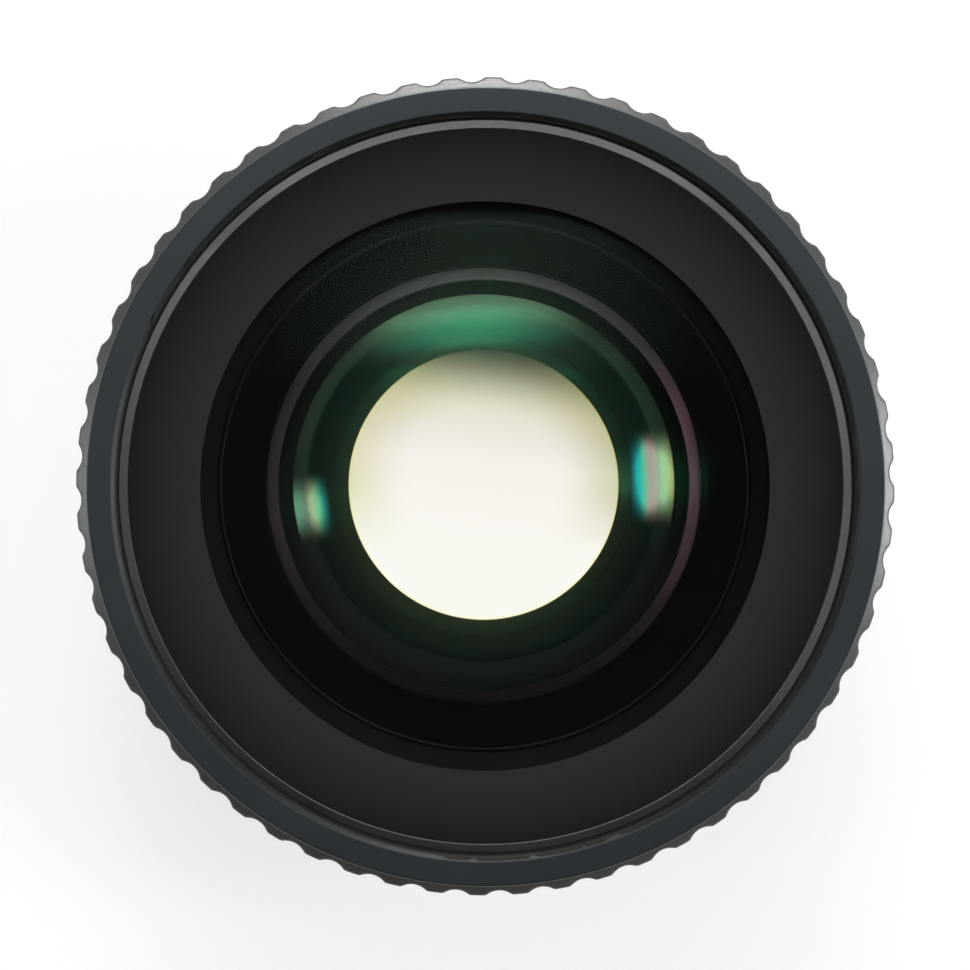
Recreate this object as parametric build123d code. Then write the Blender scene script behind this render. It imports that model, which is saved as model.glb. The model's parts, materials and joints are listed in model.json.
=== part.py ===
from build123d import *
import math
import os

# A wide-angle conversion lens that stands on its rear thread, front glass up.
# Millimetres. +Z runs along the optical axis towards the subject, and z = 0 is the end of the rear thread.
# Radii are measured from the optical axis.

# Clearances
running_gap = 0.05         # radial, between the fixed barrel and the ring that turns on it
slip_gap = 0.03            # axial, at each end of the parts that turn
slide_fit = 0.05           # radial, where a fixed piece drops into its bore
seat_gap = 0.02            # axial, under a piece that clamps a curved glass
edge_break = 0.3           # chamfer on an outer metal corner

# Standard threads
mount_thread_r = 29.0      # M58 x 0.75 male thread, crest radius
mount_thread_length = 4.0
filter_thread_r = 35.6     # M72 x 0.75 female thread, crest radius
filter_thread_length = 2.95
filter_mouth = 0.4         # chamfer at the mouth of the filter thread

# Mounting collar
relief_depth = 0.9         # undercut behind the male thread
relief_width = 0.6
flange_width = 2.8         # face that seats on the camera lens, beyond the thread's crest
flange_thickness = 2.4
collar_wall = 1.55         # from the male thread's crest to the collar's bore
collar_cone_height = 9.6
collar_land = 2.2          # plain cylinder above the cone
collar_shell = 1.9         # thickness of the hollow cone
collar_floor = 3.2         # metal above the flange, inside the collar
spigot_length = 2.6        # what reaches up inside the turning ring

# Turning ring and its rubber grip
thrust_flange_thickness = 1.3
washer_thickness = 0.3
ring_wall = 1.35           # upper part, under the rubber
band_wall = 1.5            # plain lower band
band_height = 7.4
grip_count = 60
grip_thickness = 1.38      # of the rubber, at the crest of a ridge
grip_depth = 0.54          # from the crest to the bottom of a flute
grip_flute_r = 1.9
grip_first_flute = 1.9     # degrees from +X
grip_shoulder_drop = 1.1
grip_shoulder_land = 0.1   # flat top edge of the rubber
grip_top_margin = 0.25

# Front bezel
bezel_wall = 2.78
bezel_bevel = 0.35
neck_wall = 1.15           # threaded neck of the barrel inside the bezel
neck_length = 1.6          # how far the bezel reaches down the neck
neck_relief_width = 0.5    # counterbore above the retaining ring's thread
neck_relief_depth = 1.2

# Front element, a negative meniscus with a flat blackened rim on its rear face
front_radius = 180.0
front_rear_radius = 48.0
front_centre = 2.8
front_clear_r = 27.3       # edge of the hollow
front_bevel = 0.25
glass_to_thread = 0.3      # rim of the glass to the filter thread's crest
front_vertex_drop = 0.15   # glass vertex below the bottom of the filter thread

# Front retaining ring, in a thread of its own below the bezel
retainer_step = 0.08       # from the filter thread's crest in to the ring's own thread
retainer_lip = 0.61        # how far it reaches over the glass
retainer_land = 0.95
retainer_slope = 0.45

# Barrel
barrel_wall = 1.6
barrel_web = 2.0
thrust_flange_width = 0.5
inner_wall = 1.6
rear_shoulder = 1.2        # wall of the rear neck
bore_step = 1.7            # from the cell's bore out to the bore under the front glass
barrel_end = 1.0           # the barrel stops this far above the thread's end
gasket_thickness = 0.3
gasket_width = 3.0         # inwards from the rim of the glass

# Light baffle below the front glass
baffle_drop = 4.1          # from the seat of the gasket to the baffle's rim
baffle_height = 6.4
baffle_lip = 0.34
baffle_margin = 0.15       # from the retaining ring's bore to the baffle's throat
baffle_wall = 0.5

# Rear lens cell
cell_wall = 1.2
cell_flange = 1.3
shim_thickness = 0.2
cell_lip = 1.2             # how far the cell reaches over the doublet
cell_floor = 0.9
retaining_height = 3.1
retaining_land = 0.5       # height of the lip that shows
retaining_undercut = 0.8   # how far the bore opens out below the lip
retaining_lip = 1.25       # how far the retaining ring reaches over the middle element
retaining_step = 0.05      # from the element's bore out to the retaining ring

# Middle element, almost flat in front and convex behind
middle_radius = 600.0
middle_rear_radius = 85.0
middle_centre = 6.3
middle_bevel = 0.2

# Spacer between the middle element and the doublet
spacer_width = 3.5
spacer_bevel_drop = 1.3
spacer_rim = 0.85

# Cemented doublet
doublet_r = 19.5
crown_radius = 130.0
cement_radius = 140.0
flint_rear_radius = 300.0
crown_centre = 4.2
flint_centre = 1.3
doublet_gap = 0.6          # air between the middle element and the doublet
rear_recess = 2.7          # rear vertex above the thread's end
rear_ring_width = 3.15     # from the doublet's rim in to the rear opening
rear_ring_height = 1.0
rear_ring_land = 0.25      # height of the opening's edge
rear_ring_drop = 0.25      # from the top of the ring to that edge
rear_ring_flare = 0.5      # chamfer behind the edge
spanner_slot_width = 1.6
spanner_slot_depth = 0.5

# Grub screws
grub_count = 3
grub_r = 0.8
grub_socket_r = 0.42
grub_bite = 0.85
grub_sink = 0.15
grub_angle = 30.0
bezel_grub_r = 0.5
bezel_grub_bite = 0.4
bezel_grub_angle = 90.0
grub_fit = 0.02
grub_socket_share = 0.5    # depth of the socket, as a share of the screw's length
cut_past = 1.0             # how far a cut runs on beyond the face that it opens


def sag(radius, r):
    """How far a spherical surface falls from its vertex at radius r."""
    return radius - math.sqrt(radius * radius - r * r)


# Radii, from the rear thread inwards
collar_bore_r = mount_thread_r - collar_wall
rear_neck_r = collar_bore_r - running_gap
cell_bore_r = rear_neck_r - rear_shoulder
cell_r = cell_bore_r - slide_fit
element_bore_r = cell_r - cell_wall
middle_r = element_bore_r - slide_fit
doublet_bore_r = doublet_r + slide_fit
barrel_bore_r = cell_bore_r + bore_step
baffle_r = barrel_bore_r - slide_fit
cell_lip_r = doublet_r - cell_lip
rear_aperture_r = doublet_r - rear_ring_width
retaining_inner_r = middle_r - retaining_lip
retaining_outer_r = element_bore_r + retaining_step
retaining_bore_r = retaining_outer_r + slide_fit
baffle_throat_r = retaining_bore_r + baffle_margin
spacer_r = element_bore_r - slide_fit
spacer_throat_r = spacer_r - spacer_width
flange_r = mount_thread_r + flange_width

# Radii, from the filter thread outwards
front_r = filter_thread_r - glass_to_thread
front_bore_r = front_r + slide_fit
journal_r = front_bore_r + barrel_wall
ring_bore_r = journal_r + running_gap
ring_r = ring_bore_r + ring_wall
thrust_flange_r = journal_r + thrust_flange_width
band_bore_r = thrust_flange_r + running_gap
band_r = band_bore_r + band_wall
spigot_r = band_bore_r - slide_fit
retainer_bore_r = filter_thread_r - retainer_step
neck_r = retainer_bore_r + neck_wall
bezel_bore_r = neck_r + slide_fit
bezel_r = filter_thread_r + bezel_wall
grip_crest_r = ring_r + grip_thickness

# Heights of the collar and the turning ring
flange_z = mount_thread_length + relief_width
cone_start_z = flange_z + flange_thickness
cone_end_z = cone_start_z + collar_cone_height
band_z = cone_end_z + collar_land
spigot_z = band_z + spigot_length
thrust_z = spigot_z + washer_thickness + slip_gap
thrust_top_z = thrust_z + thrust_flange_thickness

# Heights of the rear glass
cement_z = rear_recess + flint_centre
crown_z = cement_z + crown_centre
middle_rear_z = crown_z + doublet_gap
middle_z = middle_rear_z + middle_centre
middle_edge_z = middle_z - sag(middle_radius, middle_r)
middle_rear_edge_z = middle_rear_z + sag(middle_rear_radius, middle_r)
crown_edge_z = crown_z - sag(crown_radius, doublet_r)
flint_edge_z = rear_recess - sag(flint_rear_radius, doublet_r)
cell_lip_z = crown_z - sag(crown_radius, cell_lip_r) + seat_gap
cell_ledge_z = cell_lip_z + cell_floor
rear_ring_z = rear_recess - sag(flint_rear_radius, rear_aperture_r) - seat_gap
retaining_z = middle_z - sag(middle_radius, retaining_inner_r) + seat_gap
cell_top_z = retaining_z + retaining_height

# Heights of the front
baffle_top_z = cell_top_z + baffle_height
seat_z = baffle_top_z + baffle_drop
rim_face_z = seat_z + gasket_thickness
front_rear_z = rim_face_z + sag(front_rear_radius, front_clear_r)
front_z = front_rear_z + front_centre
front_edge_z = front_z - sag(front_radius, front_r)
filter_z = front_z + front_vertex_drop
total_height = filter_z + filter_thread_length + filter_mouth
bezel_z = filter_z - neck_length
neck_z = bezel_z - washer_thickness
ring_top_z = neck_z - slip_gap
grip_z = band_z + band_height
retainer_z = front_z - sag(front_radius, front_r - retainer_lip) + seat_gap
retainer_bore_z = front_edge_z - front_bevel

# Heights of the grub screws
band_grub_z = (band_z + spigot_z) / 2
bezel_grub_z = (bezel_z + filter_z) / 2


def turned(points):
    """A solid of revolution about the optical axis from a closed outline of (radius, height) points."""
    outline = Polyline([(r, 0, z) for r, z in points], close=True)
    return revolve(make_face(outline), Axis.Z)


def curve(radius, vertex_z, r_from, r_to, falls):
    """An arc of a glass surface between two radii. falls is 1 where it drops outwards, -1 where it rises."""
    def at(r):
        return (r, 0, vertex_z - falls * sag(radius, r))
    return ThreePointArc(at(r_from), at((r_from + r_to) / 2), at(r_to))


def path(*points):
    return Polyline([(r, 0, z) for r, z in points])


def turned_glass(*edges):
    return revolve(make_face(Curve() + list(edges)), Axis.Z)


def radial(r_from, r_to, z, angle, radius):
    """A round bar that lies along a radius."""
    middle = Location((0, 0, z), (0, 0, angle)) * Location(((r_from + r_to) / 2, 0, 0), (0, 90, 0))
    return middle * Cylinder(radius, r_to - r_from)


def screw_angles(first):
    return [first + step * 360 / grub_count for step in range(grub_count)]


def grub_screws(first, r_in, r_out, z, radius):
    """A ring of headless screws, each with a socket in its outer end."""
    screws = []
    for angle in screw_angles(first):
        body = radial(r_in, r_out, z, angle, radius)
        socket_start = r_out - grub_socket_share * (r_out - r_in)
        socket = radial(socket_start, r_out + cut_past, z, angle, grub_socket_r * radius / grub_r)
        screws.append(body - socket)
    return Compound(children=screws)


def screw_holes(body, first, r_in, r_out, z, radius):
    for angle in screw_angles(first):
        body -= radial(r_in, r_out, z, angle, radius + grub_fit)
    return body


def main_barrel():
    """The fixed body: a cup for the front glass, a tube for the rear cell and a thrust flange."""
    tube_r = barrel_bore_r + inner_wall
    skirt_bore_r = journal_r - barrel_wall
    web_z = seat_z - barrel_web
    step_z = cell_top_z - cell_flange - shim_thickness
    throat_z = step_z - inner_wall
    hip_z = throat_z - (tube_r - rear_neck_r)
    body = turned([
        (cell_bore_r, barrel_end),
        (rear_neck_r - edge_break, barrel_end),
        (rear_neck_r, barrel_end + edge_break),
        (rear_neck_r, hip_z),
        (tube_r, throat_z),
        (tube_r, web_z),
        (skirt_bore_r, web_z),
        (skirt_bore_r, thrust_z),
        (thrust_flange_r, thrust_z),
        (thrust_flange_r, thrust_top_z),
        (journal_r, thrust_top_z),
        (journal_r, neck_z),
        (neck_r, neck_z),
        (neck_r, filter_z),
        (retainer_bore_r + neck_relief_width, filter_z),
        (retainer_bore_r + neck_relief_width, filter_z - neck_relief_depth),
        (retainer_bore_r, filter_z - neck_relief_depth),
        (retainer_bore_r, retainer_bore_z),
        (front_bore_r, retainer_bore_z),
        (front_bore_r, seat_z),
        (barrel_bore_r, seat_z),
        (barrel_bore_r, step_z),
        (cell_bore_r, step_z),
    ])
    hole_start = neck_r - bezel_grub_bite
    return screw_holes(body, bezel_grub_angle, hole_start, neck_r + cut_past, bezel_grub_z, bezel_grub_r)


def front_bezel():
    """The front ring with the filter thread, screwed over the barrel's neck."""
    body = turned([
        (bezel_bore_r, bezel_z),
        (bezel_r, bezel_z),
        (bezel_r, total_height - bezel_bevel),
        (bezel_r - bezel_bevel, total_height),
        (filter_thread_r + filter_mouth, total_height),
        (filter_thread_r, total_height - filter_mouth),
        (filter_thread_r, filter_z),
        (bezel_bore_r, filter_z),
    ])
    hole_start = neck_r - bezel_grub_bite
    return screw_holes(body, bezel_grub_angle, hole_start, bezel_r + cut_past, bezel_grub_z, bezel_grub_r)


def bezel_grub_screws():
    r_out = bezel_r - grub_sink
    return grub_screws(bezel_grub_angle, neck_r - bezel_grub_bite, r_out, bezel_grub_z, bezel_grub_r)


def front_retaining_ring():
    """The ring over the front glass, highest at its inner edge and sloping outwards."""
    inner_r = front_r - retainer_lip
    outer_r = retainer_bore_r - slide_fit
    top_z = retainer_z + retainer_land + retainer_slope
    return turned([
        (inner_r, retainer_z),
        (outer_r, retainer_z),
        (outer_r, retainer_z + retainer_land),
        (inner_r, top_z),
    ])


def front_element():
    rear = curve(front_rear_radius, front_rear_z, 0, front_clear_r, 1)
    shoulder_r = front_r - front_bevel
    rim = path(
        (front_clear_r, rim_face_z),
        (shoulder_r, rim_face_z),
        (front_r, rim_face_z + front_bevel),
        (front_r, front_edge_z - front_bevel),
        (shoulder_r, front_z - sag(front_radius, shoulder_r)),
    )
    front = curve(front_radius, front_z, shoulder_r, 0, 1)
    axis = path((0, front_z), (0, front_rear_z))
    return turned_glass(rear, rim, front, axis)


def front_gasket():
    """A thin rubber ring between the flat rim of the glass and its seat."""
    outer_r = front_r - front_bevel
    inner_r = outer_r - gasket_width
    return turned([(inner_r, seat_z), (outer_r, seat_z), (outer_r, rim_face_z), (inner_r, rim_face_z)])


def light_baffle():
    """A blackened cone that narrows towards the rear glass and clamps the cell."""
    rim_r = baffle_r - baffle_lip
    return turned([
        (baffle_throat_r, cell_top_z),
        (baffle_r, cell_top_z),
        (baffle_r, baffle_top_z),
        (rim_r, baffle_top_z),
        (rim_r, baffle_top_z - baffle_wall),
        (baffle_throat_r, cell_top_z + baffle_wall),
    ])


def rear_lens_cell():
    """The tube that holds the rear glass, hung in the barrel by its flange."""
    flange_z_low = cell_top_z - cell_flange
    bottom_z = rear_ring_z - rear_ring_height
    return turned([
        (doublet_bore_r, bottom_z),
        (cell_r, bottom_z),
        (cell_r, flange_z_low),
        (baffle_r, flange_z_low),
        (baffle_r, cell_top_z),
        (retaining_bore_r, cell_top_z),
        (retaining_bore_r, retaining_z - edge_break),
        (element_bore_r, retaining_z - edge_break),
        (element_bore_r, cell_ledge_z),
        (cell_lip_r, cell_ledge_z),
        (cell_lip_r, cell_lip_z),
        (doublet_bore_r, cell_lip_z),
    ])


def cell_shim():
    """A thin brass ring that sets the distance between the front and rear glass."""
    top_z = cell_top_z - cell_flange
    bottom_z = top_z - shim_thickness
    return turned([(cell_bore_r, bottom_z), (baffle_r, bottom_z), (baffle_r, top_z), (cell_bore_r, top_z)])


def middle_retaining_ring():
    """The flat ring that shows as a thin light circle deep in the lens, with a wider bore below its lip."""
    wide_r = retaining_inner_r + retaining_undercut
    lip_z = cell_top_z - retaining_land
    return turned([
        (wide_r, retaining_z),
        (retaining_outer_r, retaining_z),
        (retaining_outer_r, cell_top_z),
        (retaining_inner_r, cell_top_z),
        (retaining_inner_r, lip_z),
        (wide_r, lip_z - retaining_undercut),
    ])


def middle_element():
    rear = curve(middle_rear_radius, middle_rear_z, 0, middle_r, -1)
    shoulder_r = middle_r - middle_bevel
    rim = path(
        (middle_r, middle_rear_edge_z),
        (middle_r, middle_edge_z - middle_bevel),
        (shoulder_r, middle_z - sag(middle_radius, shoulder_r)),
    )
    front = curve(middle_radius, middle_z, shoulder_r, 0, 1)
    axis = path((0, middle_z), (0, middle_rear_z))
    return turned_glass(rear, rim, front, axis)


def element_spacer():
    """The ring between the middle element and the cell's ledge. Its sloping face shows through the glass."""
    rim_r = spacer_r - spacer_rim
    rim_z = middle_rear_z + sag(middle_rear_radius, rim_r) - seat_gap
    return turned([
        (spacer_throat_r, cell_ledge_z),
        (spacer_r, cell_ledge_z),
        (spacer_r, rim_z),
        (rim_r, rim_z),
        (spacer_throat_r, rim_z - spacer_bevel_drop),
    ])


def crown_element():
    rear = curve(cement_radius, cement_z, 0, doublet_r, -1)
    rim = path((doublet_r, cement_z + sag(cement_radius, doublet_r)), (doublet_r, crown_edge_z))
    front = curve(crown_radius, crown_z, doublet_r, 0, 1)
    axis = path((0, crown_z), (0, cement_z))
    return turned_glass(rear, rim, front, axis)


def flint_element():
    front = curve(cement_radius, cement_z, 0, doublet_r, -1)
    rim = path((doublet_r, cement_z + sag(cement_radius, doublet_r)), (doublet_r, flint_edge_z))
    rear = curve(flint_rear_radius, rear_recess, doublet_r, 0, 1)
    axis = path((0, rear_recess), (0, cement_z))
    return turned_glass(front, rim, rear, axis)


def rear_retaining_ring():
    """The ring behind the doublet. Its opening is the bright disc of the lens."""
    outer_r = doublet_bore_r - slide_fit
    bottom_z = rear_ring_z - rear_ring_height
    edge_z = rear_ring_z - rear_ring_drop
    flare_r = rear_aperture_r + rear_ring_flare
    ring = turned([
        (rear_aperture_r, edge_z - rear_ring_land),
        (flare_r, bottom_z),
        (outer_r, bottom_z),
        (outer_r, flint_edge_z - seat_gap),
        (flare_r, edge_z),
        (rear_aperture_r, edge_z),
    ])
    slot_length = 2 * (outer_r + cut_past)
    slot_z = bottom_z + spanner_slot_depth / 2
    slots = Pos(0, 0, slot_z) * Box(slot_length, spanner_slot_width, spanner_slot_depth)
    keep = Pos(0, 0, slot_z) * Cylinder(flare_r + rear_ring_flare, spanner_slot_depth)
    return ring - (slots - keep)


def mount_collar():
    """The hollow cone with the rear male thread. It turns with the grip."""
    shell_run = band_r - flange_r
    steepness = collar_cone_height / shell_run
    floor_z = flange_z + collar_floor
    inner_top_r = spigot_r - collar_shell
    inner_low_r = inner_top_r - (cone_end_z - floor_z) / steepness
    body = turned([
        (collar_bore_r, 0),
        (mount_thread_r - edge_break, 0),
        (mount_thread_r, edge_break),
        (mount_thread_r, mount_thread_length),
        (mount_thread_r - relief_depth, mount_thread_length),
        (mount_thread_r - relief_depth, flange_z),
        (flange_r - edge_break, flange_z),
        (flange_r, flange_z + edge_break),
        (flange_r, cone_start_z),
        (band_r, cone_end_z),
        (band_r, band_z),
        (spigot_r, band_z),
        (spigot_r, spigot_z),
        (inner_top_r, spigot_z),
        (inner_top_r, cone_end_z),
        (inner_low_r, floor_z),
        (collar_bore_r, floor_z),
    ])
    return screw_holes(body, grub_angle, spigot_r - grub_bite, spigot_r + cut_past, band_grub_z, grub_r)


def turning_ring():
    """The metal ring that turns on the barrel and carries the rubber grip."""
    body = turned([
        (band_bore_r, band_z),
        (band_r, band_z),
        (band_r, grip_z - edge_break),
        (band_r - edge_break, grip_z),
        (ring_r, grip_z),
        (ring_r, ring_top_z),
        (ring_bore_r, ring_top_z),
        (ring_bore_r, thrust_top_z + slip_gap),
        (band_bore_r, thrust_top_z + slip_gap),
    ])
    return screw_holes(body, grub_angle, band_bore_r - cut_past, band_r + cut_past, band_grub_z, grub_r)


def turning_ring_grub_screws():
    return grub_screws(grub_angle, spigot_r - grub_bite, band_r - grub_sink, band_grub_z, grub_r)


def grip_sleeve():
    """The rubber grip: ridges with round flutes between them and a sloping shoulder in front."""
    top_z = ring_top_z - grip_top_margin
    blank = turned([
        (ring_r, grip_z),
        (grip_crest_r - edge_break, grip_z),
        (grip_crest_r, grip_z + edge_break),
        (grip_crest_r, top_z - grip_shoulder_drop),
        (ring_r + grip_shoulder_land, top_z),
        (ring_r, top_z),
    ])
    flute_r = grip_crest_r - grip_depth + grip_flute_r
    height = top_z - grip_z
    flute = Pos(flute_r, 0, (grip_z + top_z) / 2) * Cylinder(grip_flute_r, height + 2 * cut_past)
    turns = [grip_first_flute + step * 360 / grip_count for step in range(grip_count)]
    return blank - [Rot(0, 0, turn) * flute for turn in turns]


def thrust_washer():
    """A slippery washer on top of the collar, which carries the barrel's flange."""
    inner_r = spigot_r - collar_shell
    return turned([
        (inner_r, spigot_z),
        (spigot_r, spigot_z),
        (spigot_r, spigot_z + washer_thickness),
        (inner_r, spigot_z + washer_thickness),
    ])


def front_slip_washer():
    """A slippery washer round the barrel's neck, between the bezel and the turning ring."""
    inner_r = neck_r + slide_fit
    outer_r = bezel_r - edge_break
    return turned([(inner_r, neck_z), (outer_r, neck_z), (outer_r, bezel_z), (inner_r, bezel_z)])


pieces = [
    main_barrel,
    front_bezel,
    bezel_grub_screws,
    front_retaining_ring,
    front_element,
    front_gasket,
    light_baffle,
    rear_lens_cell,
    cell_shim,
    middle_retaining_ring,
    middle_element,
    element_spacer,
    crown_element,
    flint_element,
    rear_retaining_ring,
    front_slip_washer,
    mount_collar,
    turning_ring,
    turning_ring_grub_screws,
    grip_sleeve,
    thrust_washer,
]

os.makedirs("parts", exist_ok=True)
for piece in pieces:
    export_step(piece(), f"parts/{piece.__name__}.step")
print(f"height {total_height:.2f}, widest radius {grip_crest_r:.2f}, front glass vertex at {front_z:.2f}")
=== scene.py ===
# %% [markdown]
# # A wide-angle conversion lens
# The object is a heavy black lens attachment, seen from straight above as it stands on its rear thread.
# Almost all of it is turned on a lathe or ground to a sphere, so most of this lesson is about rings. The
# looks come from three things: soft highlights on anodised metal, a grained rubber grip, and glass that
# bends what lies behind it and throws back the lamps in green.

# %% Load the frame
import bmesh
import bpy
import json
import math
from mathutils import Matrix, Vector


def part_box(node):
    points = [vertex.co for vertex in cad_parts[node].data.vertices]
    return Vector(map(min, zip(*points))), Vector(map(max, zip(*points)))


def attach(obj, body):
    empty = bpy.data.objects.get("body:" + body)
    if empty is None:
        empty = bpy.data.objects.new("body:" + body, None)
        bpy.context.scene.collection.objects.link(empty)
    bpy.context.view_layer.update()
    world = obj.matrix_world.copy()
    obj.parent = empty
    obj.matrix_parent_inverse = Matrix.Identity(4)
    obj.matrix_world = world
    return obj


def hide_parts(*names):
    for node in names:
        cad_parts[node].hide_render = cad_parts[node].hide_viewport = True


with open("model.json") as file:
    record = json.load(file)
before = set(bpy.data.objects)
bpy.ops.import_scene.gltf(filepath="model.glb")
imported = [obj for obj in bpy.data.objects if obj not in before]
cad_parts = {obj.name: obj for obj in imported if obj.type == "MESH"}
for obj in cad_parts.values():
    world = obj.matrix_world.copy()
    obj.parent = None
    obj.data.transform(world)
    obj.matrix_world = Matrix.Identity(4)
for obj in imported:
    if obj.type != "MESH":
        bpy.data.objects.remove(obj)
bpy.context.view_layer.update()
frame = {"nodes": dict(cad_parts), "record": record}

# %% [markdown]
# ## Units and the shared sizes
# Blender works in metres here, and the pieces are designed in millimetres, so one factor turns one into the
# other. The outer sizes are read from the frame's boxes. The walls inside are named once and used by every
# piece that they touch, just as a fitter would take them from one drawing.

# %% Read the outer sizes
mm = 0.001


def size_of(node):
    """Outer radius, lowest and highest height of a node, in millimetres."""
    low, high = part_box(node)
    return high.y / mm, low.z / mm, high.z / mm


mounts = {mount["name"]: mount for mount in frame["record"]["mounts"]}
filter_crest_r = mounts["filter_thread"]["dims"]["r_mm"]
filter_length = mounts["filter_thread"]["dims"]["length_mm"]
mount_crest_r = mounts["rear_thread"]["dims"]["r_mm"]
filter_low = mounts["filter_thread"]["pos_m"][2] / mm - filter_length / 2
bezel_r, bezel_low, lens_top = size_of("front_bezel")
print("height", round(lens_top, 2), "mm, bezel radius", round(bezel_r, 2), "mm")

# %% [markdown]
# ## The camera
# The photograph looks straight down the optical axis from about 0.6 m, so the camera does too. It stands a
# few millimetres off the axis, which is why the rings deep inside sit a little left of and above the rim.
# It comes first, because what shines in a glass depends on where it is seen from.

# %% Place the camera
frame_pixels = 970
pixel = 0.0959
sensor_width = 36.0
nearest_view = 50.0
camera_height = 600.0
camera_x, camera_y = -4.7, 4.0
aim_pixels = (1.05, -1.9)

place = (camera_x * mm, camera_y * mm, (lens_top + camera_height) * mm)
bpy.ops.object.camera_add(location=place)
camera = bpy.context.object
camera.name = "camera"
camera.data.sensor_width = sensor_width
camera.data.lens = sensor_width * camera_height / (frame_pixels * pixel)
camera.data.clip_start = nearest_view * mm
lean_x = math.atan2(-aim_pixels[1] * pixel - camera_y, camera_height)
lean_y = math.atan2(-aim_pixels[0] * pixel - camera_x, camera_height)
camera.rotation_euler = (lean_x, -lean_y, 0)
bpy.context.scene.camera = camera
print("focal length", round(camera.data.lens, 1), "mm")

# %% [markdown]
# ## Shader maths as plain arithmetic
# Materials, lamps and the world are all graphs of nodes, and a graph is hard to read in code. A small class
# wraps a socket and overloads the operators, so `1 - mask * 0.5` adds its Math nodes by itself. Everything
# else comes from one method that takes a node's type, its settings and the values or links of its sockets.

# %% Wrap the sockets
class Wire:
    """The output of a node, with arithmetic."""

    def __init__(self, graph, socket):
        self.graph = graph
        self.socket = socket

    def maths(self, operation, *values):
        return self.graph.node("ShaderNodeMath", {"operation": operation}, dict(enumerate(values)))

    def __add__(self, other):
        return self.maths("ADD", self, other)

    def __sub__(self, other):
        return self.maths("SUBTRACT", self, other)

    def __rsub__(self, other):
        return self.maths("SUBTRACT", other, self)

    def __mul__(self, other):
        return self.maths("MULTIPLY", self, other)

    def __truediv__(self, other):
        return self.maths("DIVIDE", self, other)

    def __pow__(self, other):
        return self.maths("POWER", self, other)

    __radd__ = __add__
    __rmul__ = __mul__

    def clamped(self):
        return self.maths("MINIMUM", self.maths("MAXIMUM", self, 0.0), 1.0)


def with_alpha(colour):
    """Three numbers get an alpha, as a colour socket wants them, and a wire stays as it is."""
    return colour if isinstance(colour, Wire) else (*colour, 1)


class Graph:
    """A node tree and the methods that add to it."""

    def __init__(self, tree):
        self.tree = tree
        self.tree.nodes.clear()

    def node(self, kind, settings=None, inputs=None, output=0):
        made = self.tree.nodes.new(kind)
        for name, value in (settings or {}).items():
            setattr(made, name, value)
        for name, value in (inputs or {}).items():
            socket = made.inputs[name]
            if isinstance(value, Wire):
                self.tree.links.new(value.socket, socket)
            else:
                socket.default_value = value
        return Wire(self, made.outputs[output]) if made.outputs else made

    def part_of(self, vector, letter):
        return self.node("ShaderNodeSeparateXYZ", inputs={"Vector": vector}, output=letter)

    def colour_of(self, red, green, blue):
        return self.node("ShaderNodeCombineColor", inputs={"Red": red, "Green": green, "Blue": blue})

    def ray(self, kind):
        """1 on rays of one kind, such as Camera or Shadow."""
        return self.node("ShaderNodeLightPath", output=f"Is {kind} Ray")

    def ramp(self, value, low, high):
        """0 where value is at low, 1 where it is at high, and straight between them."""
        return ((value - low) / (high - low)).clamped()

    def soft_ramp(self, value, low, high):
        """The same with round ends."""
        t = self.ramp(value, low, high)
        return t * t * (3 - 2 * t)

    def blend(self, mask, first, second):
        """A colour between two colours."""
        wires = {0: mask, 6: with_alpha(first), 7: with_alpha(second)}
        return self.node("ShaderNodeMix", {"data_type": "RGBA"}, wires, output=2)


print("sockets can be added and multiplied")

# %% [markdown]
# ## A softbox
# Everything that shines in the picture is the mirror image of a lamp, so the lamps are shaped like a
# studio's softboxes. A real softbox is brighter in its middle, so each one fades towards its sides. It
# could be a glowing panel, but a lamp gives far less noise, and its own nodes can paint it in the same way.

# %% Make the softbox
lens_middle = (0, 0, 20 * mm)
lamp_distance = 1.0
middle_gain = 1.5
white = [(0, (1, 1, 1))]


def softbox(name, azimuth, tilts, half_width, radiance, colours=white, soft=1.5, power=2):
    """A lamp that faces the lens from an azimuth, between two tilts from straight up. Angles are degrees.

    Colours is a list of (tilt, colour), and the light runs evenly from each to the next. The lamp starts
    softly over the first few degrees, and a higher power fades it faster towards its sides.
    """
    low_tilt, high_tilt = tilts
    middle_tilt, half_tilt = (high_tilt + low_tilt) / 2, (high_tilt - low_tilt) / 2
    a, t = math.radians(azimuth), math.radians(middle_tilt)
    away = (math.sin(t) * math.cos(a), math.sin(t) * math.sin(a), math.cos(t))
    place = [start + lamp_distance * step for start, step in zip(lens_middle, away)]
    bpy.ops.object.light_add(type="AREA", location=place, rotation=(t, 0, a + math.pi / 2))
    lamp = bpy.context.object
    lamp.name = name
    lamp.visible_camera = False
    lamp.data.shape = "RECTANGLE"
    lamp.data.size = 2 * lamp_distance * math.tan(math.radians(half_width)) * math.sin(t)
    lamp.data.size_y = 2 * lamp_distance * math.tan(math.radians(half_tilt))
    lamp.data.energy = radiance * math.pi * lamp.data.size * lamp.data.size_y
    lamp.data.use_nodes = True
    graph = Graph(lamp.data.node_tree)
    spot = graph.node("ShaderNodeNewGeometry", output="Parametric")
    across = 2 * graph.part_of(spot, "X") - 1
    upwards = 2 * graph.part_of(spot, "Y") - 1
    tilt = middle_tilt - upwards * half_tilt
    fade = (1 - across * across) ** power * graph.soft_ramp(tilt, low_tilt, low_tilt + soft)
    colour = colours[0][1]
    for (last, _), (here, tint) in zip(colours, colours[1:]):
        colour = graph.blend(graph.ramp(tilt, last, here), colour, tint)
    wires = {"Color": with_alpha(colour), "Strength": middle_gain * fade}
    glow = graph.node("ShaderNodeEmission", inputs=wires)
    graph.node("ShaderNodeOutputLight", inputs={"Surface": glow})
    return lamp


print("softboxes stand", lamp_distance, "m from the lens")

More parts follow.
